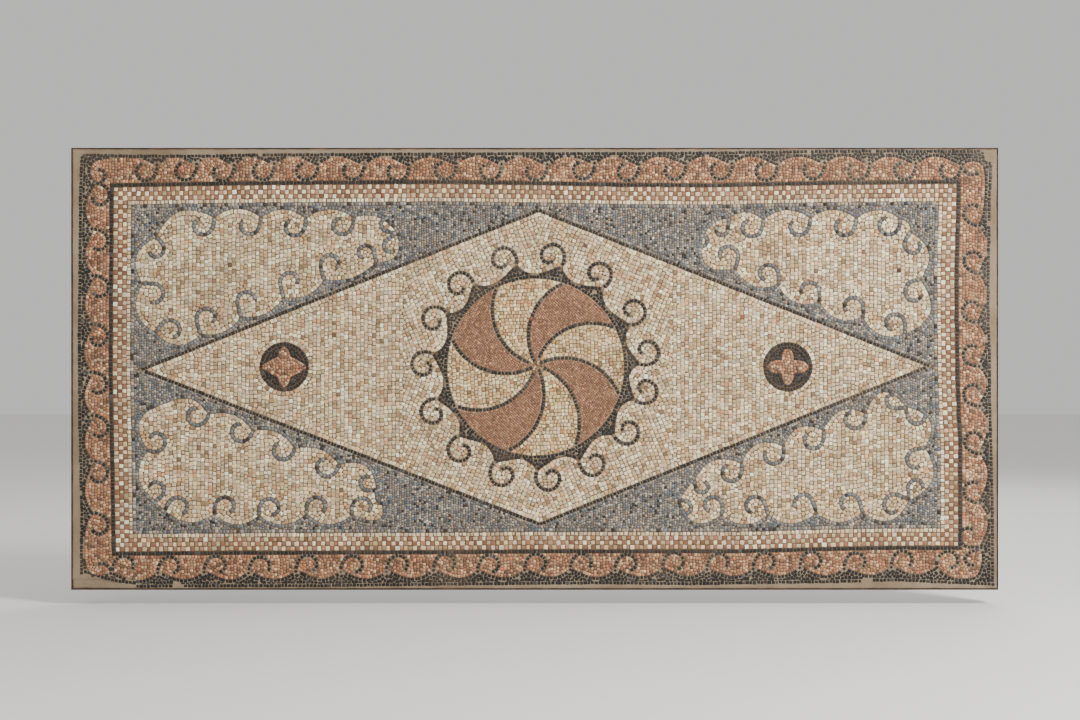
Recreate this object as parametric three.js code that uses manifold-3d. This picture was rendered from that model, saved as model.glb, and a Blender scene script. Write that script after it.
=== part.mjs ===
// A detached mosaic floor, hung upright: a cement slab in a thin iron edging,
// with the stone tesserae of its picture set flush in a shallow bed in its face.
// Millimetres, +Z up. The picture faces -Y. The origin is the middle of the flat back.
import * as THREE from 'three';
import Module from 'manifold-3d';
import { mergeVertices } from 'three/addons/utils/BufferGeometryUtils.js';

const wasm = await Module();
wasm.setup();

// Driving dimensions
const PANEL = { width: 1850, height: 882, thickness: 40 };
const IRON = 2.5;            // thickness of the edging
const BED = 8;               // depth of the bed, and length of a tessera into it
const JOINT = 0.6;           // open joint between two neighbouring fields
const LINE = 7;              // width of a line one tessera wide
const FRAME_MIDDLE = 2;      // height of the middle of the straight bands
const PINK_INNER = { x: 848.5, z: 371.5 };
const FILLET = 8.5;
const CHECKER = 27;
const WHITE = 8;
const WAVE_RISE = 18;        // how far a border crest stands past its nicks
const CLOUD_RISE = 18;
const BUMP_STEPS = 5;        // straight pieces in one crest
const HAND = 1.6;            // how far the setter's hand strays along a run of crests
const LOZENGE = { left: [-795, -2], top: [8, 320], right: [798, 6], bottom: [10, -314] };
const MEDALLION = { x: 2, z: 3.5, ring: 180, cusp: 209, dip: 18, firstCurl: 106.3, steps: 48 };
// Degrees from each curl of the medallion to the next, as laid
const CURL_STEPS = [25, 26, 26, 22, 20, 23, 24, 24, 24, 25, 24, 25, 24, 22];
const ARMS = { count: 8, firstEnd: 115, bend: 236, steps: 9, meet: [1.5, 4] };
// A curl starts at its cusp, back along the ring and out from it. Its radius eases in over the
// opening share of its length, and shrinks to the tip share of itself over the closing share.
const CURL = {
  radius: 23, back: 21, out: 15, sweep: 305, steps: 9, lead: 4, opening: 0.2, closing: 0.36, tip: 0.42,
};
const ROUNDEL = { radius: 49, steps: 28 };
// The cross of a roundel is mirrored from the outline of its upper right quarter.
const ROUNDELS = [
  {
    name: 'left',
    x: -500,
    z: 4,
    quarter: [[44, 3], [33, 10], [22, 16], [13, 20], [10, 30], [6, 38], [2, 40]],
  },
  {
    name: 'right',
    x: 505,
    z: 4,
    quarter: [[41, 3], [34, 10], [24, 13], [12, 13], [11, 26], [7, 33], [3, 36]],
  },
];

const SLAB_FRONT = -PANEL.thickness;
const BED_FLOOR = SLAB_FRONT + BED;
const GAP = JOINT / 2;
const THROUGH = [SLAB_FRONT - 1, BED_FLOOR + 1];  // the depth of a body that only cuts

// ---- materials
const stone = (color, roughness = 0.7) => new THREE.MeshStandardMaterial({ color, roughness, metalness: 0 });
const MORTAR = stone(0x97826b, 0.95);
const BLACK = stone(0x34322f, 0.6);
const PINK = stone(0xae8f74);
const BROWN_PINK = stone(0x9e8068);
const CREAM = stone(0xbcab96);
const GREY = stone(0x91887e);
const WHITE_STONE = stone(0xc9bba3);
const CHECKER_STONE = stone(0xb29a80);
const RUSTED_IRON = new THREE.MeshStandardMaterial({ color: 0x3d2a20, roughness: 0.8, metalness: 0.6 });

// ---- outlines, as lists of [x, z]
const radians = (degrees) => (degrees * Math.PI) / 180;
const polar = (centre, radius, degrees) => [
  centre.x + radius * Math.cos(radians(degrees)),
  centre.z + radius * Math.sin(radians(degrees)),
];
const rectangle = (left, right, bottom, top) => [[left, bottom], [right, bottom], [right, top], [left, top]];
const bandRectangle = (inset, grow = 0) => {
  const x = PINK_INNER.x - inset + grow;
  const z = PINK_INNER.z - inset + grow;
  return rectangle(-x, x, FRAME_MIDDLE - z, FRAME_MIDDLE + z);
};
const circle = (centre, radius, steps) =>
  Array.from({ length: steps }, (_, i) => polar(centre, radius, (i * 360) / steps));

// The closed outline moved outwards by `by`, each corner along the mean of its two sides' normals.
function grown(points, by) {
  const n = points.length;
  let area = 0;
  for (let i = 0; i < n; i += 1) {
    const [ax, az] = points[i];
    const [bx, bz] = points[(i + 1) % n];
    area += ax * bz - bx * az;
  }
  const side = Math.sign(area);
  return points.map(([x, z], i) => {
    const before = points[(i + n - 1) % n];
    const after = points[(i + 1) % n];
    const a = new THREE.Vector2(x - before[0], z - before[1]).normalize();
    const b = new THREE.Vector2(after[0] - x, after[1] - z).normalize();
    const normal = new THREE.Vector2(a.y + b.y, -a.x - b.x).multiplyScalar(side);
    const stretch = Math.max(normal.lengthSq() / 2, 0.3);
    return [x + (normal.x * by) / stretch, z + (normal.y * by) / stretch];
  });
}

// ---- scalloped outlines: nicks in clockwise order, with a crest between each two
// A crest that turns a corner of the frame passes through points of its own.
const nick = (x, z, rise = CLOUD_RISE, through = []) => ({ x, z, rise, through });
const run = (from, to, count, rise = CLOUD_RISE) =>
  Array.from({ length: count }, (_, i) => {
    const t = i / (count - 1);
    const stray = HAND * Math.sin(2.4 * i);
    return nick(from[0] + (to[0] - from[0]) * t + stray, from[1] + (to[1] - from[1]) * t + stray, rise);
  });

// Any other crest stands out from the chord between its nicks by rise * sin(pi t) ^ 0.85.
function scalloped(nicks) {
  return nicks.flatMap((a, i) => {
    const b = nicks[(i + 1) % nicks.length];
    if (a.through.length > 0) return [[a.x, a.z], ...a.through];
    const length = Math.hypot(b.x - a.x, b.z - a.z);
    const out = [-(b.z - a.z) / length, (b.x - a.x) / length];
    return Array.from({ length: BUMP_STEPS }, (_, k) => {
      const t = k / BUMP_STEPS;
      const height = k === 0 ? 0 : a.rise * Math.sin(Math.PI * t) ** 0.85;
      return [a.x + (b.x - a.x) * t + out[0] * height, a.z + (b.z - a.z) * t + out[1] * height];
    });
  });
}

const WAVES = [
  ...run([-753, 403], [-521, 404], 4, WAVE_RISE),
  ...run([-433, 404], [761, 406], 14, WAVE_RISE),
  nick(852, 405, 0, [[866, 414], [887, 413], [898, 400], [898, 340], [893, 305]]),
  ...run([884, 286], [883, 94], 3, WAVE_RISE),
  nick(883, 5, WAVE_RISE),
  ...run([884, -74], [886, -266], 3, WAVE_RISE),
  nick(888, -355, 0, [[894, -378], [888, -402], [880, -417], [840, -419], [815, -408]]),
  ...run([802, -392], [-752, -403], 18, WAVE_RISE),
  nick(-843, -405, 0, [[-860, -411], [-878, -413], [-895, -401], [-900, -350], [-893, -305]]),
  nick(-879, -288, WAVE_RISE),
  ...run([-880, -184], [-880, -5], 3, WAVE_RISE),
  ...run([-880, 89], [-878, 281], 3, WAVE_RISE),
  nick(-876, 371, 0, [[-887, 385], [-885, 407], [-872, 417], [-830, 421], [-780, 419]]),
];
const CLOUDS = {
  top_left: [
    nick(-755, 262, 34),
    ...run([-640, 301], [-363, 300], 4),
    nick(-276, 270, 25),
    nick(-317, 213, 14),
    ...run([-420, 178], [-585, 106], 3, 15),
    nick(-667, 70, 24),
    nick(-757, 72, 26),
    nick(-782, 170, 28),
  ],
  bottom_left: [
    ...run([-651, -92], [-478, -159], 3, 17),
    nick(-391, -192, 27),
    nick(-316, -241, 46),
    ...run([-365, -290], [-640, -290], 4, 21),
    nick(-738, -282, 2),
    nick(-757, -263, 26),
    nick(-772, -163, 0, [[-789, -135], [-791, -108], [-777, -86], [-745, -71], [-703, -57], [-672, -64]]),
  ],
  top_right: [
    nick(386, 300, 14),
    ...run([456, 297], [643, 301], 3),
    nick(729, 298, 8),
    nick(750, 272, 28),
    nick(768, 178, 38),
    ...run([738, 70], [484.5, 167.5], 4, 20),
    nick(400, 200, 38),
    nick(338, 268, 8),
  ],
  bottom_right: [
    nick(318, -224, 25),
    ...run([413, -190], [578.3, -123.3], 3, 25),
    nick(661, -90, 37),
    nick(741, -77, 32),
    nick(778, -158, 33),
    nick(747, -262, 30),
    ...run([654, -286], [466.7, -289.3], 3, 20),
    nick(373, -291, 33),
    nick(291, -262, 3),
  ],
};

// ---- solids
// The outline's points, turned to run counter-clockwise.
function turnedLeft(outline) {
  const points = outline.map(([x, z]) => new THREE.Vector2(x, z));
  return THREE.ShapeUtils.isClockWise(points) ? points.reverse() : points;
}

// A flat plate of the picture, from the floor of the bed to the face.
function plate(outline, holes = [], front = SLAB_FRONT, back = BED_FLOOR - GAP) {
  const shape = new THREE.Shape(turnedLeft(outline));
  for (const hole of holes) {
    shape.holes.push(new THREE.Path(turnedLeft(hole)));
  }
  const geometry = new THREE.ExtrudeGeometry(shape, { depth: back - front, bevelEnabled: false });
  geometry.rotateX(Math.PI / 2);
  geometry.translate(0, back, 0);
  return geometry;
}

function solid(geometry) {
  const bare = geometry.clone();
  bare.deleteAttribute('normal');
  bare.deleteAttribute('uv');
  const merged = mergeVertices(bare, 1e-4);
  return new wasm.Manifold(new wasm.Mesh({
    numProp: 3,
    vertProperties: new Float32Array(merged.attributes.position.array),
    triVerts: new Uint32Array(merged.index.array),
  }));
}

function geometryOf(body) {
  const mesh = body.getMesh();
  const geometry = new THREE.BufferGeometry();
  geometry.setAttribute('position', new THREE.BufferAttribute(new Float32Array(mesh.vertProperties), 3));
  geometry.setIndex(new THREE.BufferAttribute(new Uint32Array(mesh.triVerts), 1));
  return geometry;
}

const panel = new THREE.Group();
function add(name, geometry, material) {
  const mesh = new THREE.Mesh(geometry, material);
  mesh.name = name;
  panel.add(mesh);
}

// ---- the slab and its edging
const halfWidth = PANEL.width / 2;
const halfHeight = PANEL.height / 2;
const slabX = halfWidth - IRON - GAP;
const slabZ = halfHeight - IRON - GAP;
// The picture has lost its lower left corner, and a patch of cement fills its upper right one.
// Its edge is uneven, and runs out to the edging along the right half of the top.
const PICTURE_OUTLINE = [
  [-795, -437], [-430, -436], [-100, -432], [150, -430], [310, -432], [640, -427], [715, -424], [917, -433],
  [917, -310], [911, -100], [911, 20], [908, 130], [914, 412],
  [899, 415], [897, 437.5], [600, 437.5], [400, 434.5], [-300, 431.5], [-650, 428], [-893, 430],
  [-906, 426], [-912, 60], [-907, -290], [-908, -413],
  [-895, -408], [-860, -420], [-800, -430],
];
const slab = solid(plate(rectangle(-slabX, slabX, -slabZ, slabZ), [], SLAB_FRONT, 0));
const bed = solid(plate(PICTURE_OUTLINE, [], SLAB_FRONT - 1, BED_FLOOR));
add('mortar_slab', geometryOf(slab.subtract(bed)), MORTAR);

const irons = {
  top: rectangle(-halfWidth, halfWidth, halfHeight - IRON, halfHeight),
  bottom: rectangle(-halfWidth, halfWidth, -halfHeight, -halfHeight + IRON),
  left: rectangle(-halfWidth, -halfWidth + IRON, -slabZ, slabZ),
  right: rectangle(halfWidth - IRON, halfWidth, -slabZ, slabZ),
};
for (const [side, outline] of Object.entries(irons)) {
  add(`edge_iron_${side}`, plate(outline, [], SLAB_FRONT, 0), RUSTED_IRON);
}

// ---- the border, from outside in
const waveOutline = scalloped(WAVES);
add('wave_ground', plate(grown(PICTURE_OUTLINE, -GAP), [grown(waveOutline, GAP)]), BLACK);
add('wave_band', plate(grown(waveOutline, -GAP), [bandRectangle(0, GAP)]), PINK);
const bands = [
  ['black_fillet', FILLET, BLACK],
  ['checker_band', CHECKER, CHECKER_STONE],
  ['white_row', WHITE, WHITE_STONE],
];
let inset = 0;
for (const [name, width, material] of bands) {
  add(name, plate(bandRectangle(inset, -GAP), [bandRectangle(inset + width, GAP)]), material);
  inset += width;
}

// ---- the clouds and the ground round them
const lozenge = Object.values(LOZENGE);
const cloudOutlines = Object.entries(CLOUDS).map(([name, nicks]) => [name, scalloped(nicks)]);
const groundHoles = cloudOutlines.map(([, outline]) => grown(outline, GAP));
add('cloud_ground', plate(bandRectangle(inset, -GAP), [grown(lozenge, GAP), ...groundHoles]), GREY);
for (const [name, outline] of cloudOutlines) {
  add(`cloud_${name}`, plate(grown(outline, -GAP)), CREAM);
}

// ---- the lozenge
add('lozenge_line', plate(grown(lozenge, -GAP), [grown(lozenge, -LINE + GAP)]), BLACK);

// The angles of the medallion's curls, clockwise from the first.
const curlAngles = [MEDALLION.firstCurl];
for (const step of CURL_STEPS) {
  curlAngles.push(curlAngles.at(-1) - step);
}
const cuspBack = (CURL.back / MEDALLION.cusp) * (180 / Math.PI);
const ringOutline = scalloped(curlAngles.map((angle) => {
  const [x, z] = polar(MEDALLION, MEDALLION.cusp, angle - cuspBack);
  return nick(x, z, -MEDALLION.dip);
}));

// A strip of constant width along a run of points.
function strip(points, width) {
  const sides = points.map(([x, z], i) => {
    const before = points[Math.max(i - 1, 0)];
    const after = points[Math.min(i + 1, points.length - 1)];
    const along = new THREE.Vector2(after[0] - before[0], after[1] - before[1]).normalize();
    const half = width / 2;
    return [[x - along.y * half, z + along.x * half], [x + along.y * half, z - along.x * half]];
  });
  return [...sides.map((pair) => pair[0]), ...sides.map((pair) => pair[1]).reverse()];
}

// A curl leaves its cusp, turns about its own centre at the curl radius, and closes in at its tip.
function curlPoints(curlAngle) {
  const across = radians(curlAngle - 90);
  const along = [Math.cos(across), Math.sin(across)];
  const inward = [along[1], -along[0]];
  const centre = polar(MEDALLION, MEDALLION.cusp + CURL.out, curlAngle);
  const start = Math.hypot(CURL.back, CURL.out);
  const startAngle = Math.atan2(CURL.out, CURL.back);
  return Array.from({ length: CURL.steps + 1 }, (_, k) => {
    const t = k / CURL.steps;
    const opening = Math.max(0, 1 - t / CURL.opening) ** 2;
    const closing = Math.max(0, (t - 1) / CURL.closing + 1) ** 2;
    const extra = (start + CURL.lead - CURL.radius) * opening;
    const radius = CURL.radius + extra - CURL.radius * (1 - CURL.tip) * closing;
    const angle = startAngle - radians(CURL.sweep) * t;
    const u = radius * Math.cos(angle);
    const v = radius * Math.sin(angle);
    return [centre[0] + along[0] * u + inward[0] * v, centre[1] + along[1] * u + inward[1] * v];
  });
}

// An arm is part of a circle through the medallion's middle, so its direction
// falls back by asin(r / bend) on the way out. The arms meet a little off the middle.
function armPoints(i) {
  const back = Math.asin(MEDALLION.ring / ARMS.bend);
  return Array.from({ length: ARMS.steps + 1 }, (_, k) => {
    const radius = (MEDALLION.ring * k) / ARMS.steps;
    const end = radians(ARMS.firstEnd - (360 / ARMS.count) * i);
    const angle = end + back - Math.asin(radius / ARMS.bend);
    const off = 1 - k / ARMS.steps;
    return [
      MEDALLION.x + ARMS.meet[0] * off + radius * Math.cos(angle),
      MEDALLION.z + ARMS.meet[1] * off + radius * Math.sin(angle),
    ];
  });
}

// The ring with its curls. Grown, it is a body that cuts room for itself out of the field.
function ringAndCurls(grow) {
  const depth = grow > 0 ? THROUGH : [];
  const inner = circle(MEDALLION, MEDALLION.ring - LINE / 2, MEDALLION.steps);
  const ring = solid(plate(grown(ringOutline, grow), [inner], ...depth));
  const curls = curlAngles.map((angle) => strip(curlPoints(angle), LINE + 2 * grow));
  return curls.reduce((body, curl) => body.add(solid(plate(curl, [], ...depth))), ring);
}

function arms(width, ...depth) {
  const strips = Array.from({ length: ARMS.count }, (_, i) => strip(armPoints(i), width));
  return strips.map((outline) => solid(plate(outline, [], ...depth))).reduce((body, arm) => body.add(arm));
}
add('medallion_ring_and_arms', geometryOf(ringAndCurls(0).add(arms(LINE))), BLACK);

// Each petal fills the space between two neighbouring arms and the ring.
const rim = solid(plate(circle(MEDALLION, MEDALLION.ring - LINE / 2 - JOINT, MEDALLION.steps)));
const armsAndJoints = arms(LINE + JOINT, ...THROUGH);
for (let i = 0; i < ARMS.count; i += 1) {
  const outline = [...armPoints(i), ...armPoints(i + 1).slice(1).reverse()];
  const petal = solid(plate(outline, [], ...THROUGH)).intersect(rim).subtract(armsAndJoints);
  const [colour, material] = i % 2 === 0 ? ['cream', CREAM] : ['pink', BROWN_PINK];
  add(`petal_${colour}_${Math.floor(i / 2) + 1}`, geometryOf(petal), material);
}

// ---- the roundels, each with a four-armed cross
function crossOutline({ x, z, quarter }) {
  const upperLeft = quarter.map(([px, pz]) => [-px, pz]).reverse();
  const upper = [...quarter, ...upperLeft];
  const lower = upper.map(([px, pz]) => [-px, -pz]);
  return [...upper, ...lower].map(([px, pz]) => [x + px, z + pz]);
}
const roundelHoles = ROUNDELS.map((roundel) => circle(roundel, ROUNDEL.radius + GAP, ROUNDEL.steps));
const field = solid(plate(grown(lozenge, -LINE - GAP), roundelHoles));
const insideRing = solid(plate(circle(MEDALLION, MEDALLION.ring, MEDALLION.steps), [], ...THROUGH));
add('lozenge_field', geometryOf(field.subtract(ringAndCurls(JOINT)).subtract(insideRing)), CREAM);
for (const roundel of ROUNDELS) {
  const cross = crossOutline(roundel);
  const edge = circle(roundel, ROUNDEL.radius - GAP, ROUNDEL.steps);
  add(`roundel_${roundel.name}_ground`, plate(edge, [grown(cross, GAP)]), BLACK);
  add(`roundel_${roundel.name}_cross`, plate(grown(cross, -GAP)), PINK);
}

export default panel;
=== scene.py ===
"""A detached mosaic floor, hung upright: a cement slab in a thin iron edging, laid stone by stone.

The design is in millimetres, x to the right and z up from the middle of the panel, and is turned
into metres where a mesh is made. The picture faces -Y. Every stone is a low closed block, wider
at its foot than on its face, with a colour of its own in the attribute `stone`.
"""

import math

import bpy
import numpy as np
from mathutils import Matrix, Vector


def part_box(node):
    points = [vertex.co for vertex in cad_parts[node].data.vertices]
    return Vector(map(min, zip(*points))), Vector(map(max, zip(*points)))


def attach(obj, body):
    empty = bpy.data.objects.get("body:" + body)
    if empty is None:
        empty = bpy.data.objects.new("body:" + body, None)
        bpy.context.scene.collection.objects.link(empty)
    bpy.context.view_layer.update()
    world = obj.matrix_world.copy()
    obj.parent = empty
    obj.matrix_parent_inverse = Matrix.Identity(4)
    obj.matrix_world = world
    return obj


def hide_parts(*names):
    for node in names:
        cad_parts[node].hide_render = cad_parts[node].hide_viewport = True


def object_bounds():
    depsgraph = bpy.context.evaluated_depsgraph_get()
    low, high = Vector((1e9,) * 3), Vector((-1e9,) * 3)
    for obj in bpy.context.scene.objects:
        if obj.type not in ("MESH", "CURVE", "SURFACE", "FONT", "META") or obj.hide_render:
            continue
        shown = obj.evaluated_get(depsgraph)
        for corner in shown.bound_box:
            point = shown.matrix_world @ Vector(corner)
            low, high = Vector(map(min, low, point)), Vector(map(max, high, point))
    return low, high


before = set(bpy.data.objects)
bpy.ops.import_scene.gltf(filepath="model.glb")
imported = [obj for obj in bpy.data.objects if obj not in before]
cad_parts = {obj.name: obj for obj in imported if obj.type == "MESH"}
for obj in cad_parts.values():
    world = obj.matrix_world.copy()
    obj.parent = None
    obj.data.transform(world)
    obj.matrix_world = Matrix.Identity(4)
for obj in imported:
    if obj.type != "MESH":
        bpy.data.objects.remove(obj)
CAD_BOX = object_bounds()

# ---- driving dimensions, in millimetres
MM = 0.001
PANEL_LOW, PANEL_HIGH = (np.array(corner) / MM for corner in CAD_BOX)
SLAB_LOW, SLAB_HIGH = (np.array(corner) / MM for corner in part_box("mortar_slab"))
FACE = SLAB_LOW[1]  # depth of the finished face, in y
CELL = 0.8  # side of a cell of the raster that fields of stone are laid out on
LINE = 7.0  # a line one stone wide, with its joints
CHIP = 5.8  # pink stones of the border
FINE_CHIP = 4.1  # brown pink stones of the petals
GREY_CHIP = 4.9
CREAM_STONE = 7.9
PETAL_STONE = 7.1
CHECK = 8.7  # one square of the checker, along the band
PROUD = 0.25  # most that one stone's face lies deeper than another's
BEVEL = 0.45  # width of the worn edge of the larger stones
STONE_DEPTH = 2.6
BED_DEPTH = 0.85  # the mortar between the stones, below their faces
HAND = 1.6  # how far the setter's hand strays along a run of crests
WAVE_RISE = 18.0
CLOUD_RISE = 18.0
WAVE_LEAN = 1.25  # crests of the border stand steeper on the side that they break from
CREST_STEPS = 24
CURL_SWEEP = 250.0
CURL_RADIUS = 19.5
CURL_TIP = 0.78
CURL_OPENING, CURL_CLOSING = 0.2, 0.36  # shares of a curl that ease out of its nick and close up
CURL_POINTS = 60

FRAME_MIDDLE = 2.0  # height of the middle of the straight bands
PINK_INNER = np.array([848.5, 371.5])  # half sizes of the rectangle inside the wave border
FILLET, CHECKER, WHITE = 8.5, 27.0, 8.0
LOZENGE = np.array([[-795.0, -2.0], [8.0, 320.0], [798.0, 6.0], [10.0, -314.0]])
MEDALLION = np.array([2.0, 3.5])
RING, CUSP, DIP = 180.0, 209.0, 18.0
RING_LEAN, RING_SWELL = 1.45, 0.75  # of the scallops round the ring
FIRST_CURL = 106.3
# Degrees from each curl of the medallion to the next, as laid
CURL_STEPS = [25, 26, 26, 22, 20, 23, 24, 24, 24, 25, 24, 25, 24, 22]
CURL_BACK, CURL_OUT = 21.0, 15.0
RING_CURL = {"sweep": 318, "tip": 0.36, "stray": 10}
RING_CURL_RADIUS = 23.0
ARM_COUNT, FIRST_ARM, ARM_BEND = 8, 115.0, 236.0
ARMS_MEET = np.array([1.5, 4.0])  # from the medallion's middle
ARM_STARTS = (15.0, 8.0)  # how far from where they meet the arms begin, in turn
ROUNDELS = {
    "left": (
        np.array([-500.0, 4.0]),
        [[44, 3], [33, 10], [22, 16], [13, 20], [10, 30], [6, 38], [2, 40]],
    ),
    "right": (
        np.array([505.0, 4.0]),
        [[41, 3], [34, 10], [24, 13], [12, 13], [11, 26], [7, 33], [3, 36]],
    ),
}
ROUNDEL_RADIUS = 49.0
ROUNDEL_STONE, CROSS_STONE = 5.8, 5.6
WING = 270  # from the middle of the lozenge to where the rows of its wings begin

# Lengths of the stones of single rows, with their joints
BLACK_PITCH = 7.2
FILLET_PITCH = 7.3
CREST_PITCH = 7.4
RIM_PITCH = 7.0
WHITE_PITCH = 8.3
WAVE_CURL_PITCH, RING_CURL_PITCH = 8.0, 7.6
ROUNDEL_PITCH = 6.6


# ---- outlines and paths, as arrays of (x, z)
def polar(centre, radius, degrees):
    """Points at a radius and an angle from a centre, anticlockwise from +X."""
    angle = np.radians(degrees)
    return np.stack([centre[0] + radius * np.cos(angle), centre[1] + radius * np.sin(angle)], -1)


def lengths_along(path):
    """How far along a path each of its points lies."""
    steps = np.hypot(*np.diff(path, axis=0).T)
    return np.concatenate([[0.0], np.cumsum(steps)])


def at(path, distances):
    """The points of a path at given distances along it, between its own points in straight lines."""
    own = lengths_along(path)
    return np.stack([np.interp(distances, own, path[:, k]) for k in (0, 1)], -1)


def resampled(path, step):
    """The same path in equal steps of about the given length."""
    total = lengths_along(path)[-1]
    return at(path, np.linspace(0, total, max(2, int(round(total / step)) + 1)))


def closed(outline):
    """An outline with its first point once more at its end."""
    return np.concatenate([outline, outline[:1]])


def left_normals(path):
    """Unit normals to the left of travel, from each point's two neighbours."""
    along = np.gradient(path, axis=0)
    along /= np.maximum(np.hypot(*along.T)[:, None], 1e-9)
    return np.stack([-along[:, 1], along[:, 0]], -1)


def moved_left(path, by):
    """A path moved to the left of travel, each point along its own normal."""
    return path + left_normals(path) * by


def rounded(points, times=2):
    """A path with its corners cut a few times: each side keeps its middle half, the two ends stay."""
    path = np.array(points, float)
    for _ in range(times):
        near = path[:-1] * 0.75 + path[1:] * 0.25
        far = path[:-1] * 0.25 + path[1:] * 0.75
        cut = np.stack([near, far], 1).reshape(-1, 2)
        path = np.concatenate([path[:1], cut[1:-1], path[-1:]])
    return path


# ---- scalloped outlines: nicks in clockwise order, a crest between each two, curls at the nicks
def nick(x, z, rise=CLOUD_RISE, through=(), curls=()):
    """A nick, with the rise of the crest after it or the points that this crest passes.

    Each of its curls is (x, z, radius, turn), with the x and z of the curl's centre.
    """
    return {
        "at": np.array([x, z], float),
        "rise": rise,
        "through": list(through),
        "curls": list(curls),
    }


def run(start, end, count, rise=CLOUD_RISE, turn=0, along=0.0, inward=0.0, radius=CURL_RADIUS):
    """Nicks in a straight line, each with a curl unless `turn` is 0.

    A curl with turn 1 lies behind its nick and winds clockwise, and one with -1 lies ahead of it.
    """
    start, end = np.array(start, float), np.array(end, float)
    travel = (end - start) / np.hypot(*(end - start))
    inner = np.array([travel[1], -travel[0]])
    nicks = []
    for i in range(count):
        place = start + (end - start) * i / (count - 1) + HAND * math.sin(2.4 * i)
        centre = place - turn * along * travel + inward * inner
        nicks.append(nick(*place, rise, curls=[(*centre, radius, turn)] if turn else []))
    return nicks


def crests(nicks, lean=1.0, swell=0.85):
    """One open path from each nick to the next.

    A crest stands out from its chord by rise * sin(pi * (1 - t) ^ lean) ^ swell.
    """
    paths = []
    for a, b in zip(nicks, nicks[1:] + nicks[:1]):
        if a["through"]:
            paths.append(rounded([a["at"], *a["through"], b["at"]]))
            continue
        chord = b["at"] - a["at"]
        out = np.array([-chord[1], chord[0]]) / np.hypot(*chord)
        t = np.linspace(0, 1, CREST_STEPS)[:, None]
        height = a["rise"] * np.abs(np.sin(np.pi * (1 - t) ** lean)) ** swell
        paths.append(a["at"] + chord * t + out * height)
    return paths


def curl_path(start, centre, radius, turn, sweep, tip):
    """From a nick round a centre: it eases into its radius at first, and closes up at the end."""
    arm = np.array(start) - centre
    t = np.linspace(0, 1, CURL_POINTS)
    opening = np.maximum(0, 1 - t / CURL_OPENING) ** 2
    closing = np.maximum(0, (t - 1) / CURL_CLOSING + 1) ** 2
    reach = radius + (np.hypot(*arm) - radius) * opening - radius * (1 - tip) * closing
    angle = math.degrees(math.atan2(arm[1], arm[0])) - turn * sweep * t
    return polar(centre, reach, angle)


def curls_of(nicks, sweep=CURL_SWEEP, tip=CURL_TIP, stray=22.0):
    """The paths of all the curls at some nicks, some wound further than others."""
    paths = []
    for i, n in enumerate(nicks):
        for x, z, radius, turn in n["curls"]:
            further = math.sin(1.9 * i + radius)
            paths.append(curl_path(n["at"], np.array([x, z]), radius, turn,
                                   sweep + stray * further, tip - 0.08 * further))
    return paths


# How the curl of a breaking wave turns, and how far behind and inside its nick it lies
BREAKING = {"turn": 1, "along": 23, "inward": 8}
WAVES = [
    *run([-753, 403], [-521, 404], 4, WAVE_RISE, **BREAKING),
    *run([-433, 404], [761, 406], 14, WAVE_RISE, **BREAKING),
    nick(852, 405, 0, [[866, 414], [887, 413], [898, 400], [898, 340], [893, 305]],
         [(829, 398, 20, 1)]),
    *run([884, 286], [883, 94], 3, WAVE_RISE, **BREAKING),
    nick(883, 5, WAVE_RISE, curls=[(875, 28, CURL_RADIUS, 1)]),
    *run([884, -74], [886, -266], 3, WAVE_RISE, **BREAKING),
    nick(888, -355, 0, [[894, -378], [888, -402], [880, -417], [840, -419], [815, -408]],
         [(868, -336, 20, 1)]),
    *run([802, -392], [-752, -403], 18, WAVE_RISE, **BREAKING),
    nick(-843, -405, 0, [[-860, -411], [-878, -413], [-895, -401], [-900, -350], [-893, -305]],
         [(-820, -394, 20, 1)]),
    nick(-879, -288, WAVE_RISE, curls=[(-871, -311, CURL_RADIUS, 1)]),
    *run([-880, -184], [-880, -5], 3, WAVE_RISE, **BREAKING),
    *run([-880, 89], [-878, 281], 3, WAVE_RISE, **BREAKING),
    nick(-876, 371, 0, [[-887, 385], [-885, 407], [-872, 417], [-830, 421], [-780, 419]],
         [(-869, 347, 20, 1)]),
]
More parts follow.
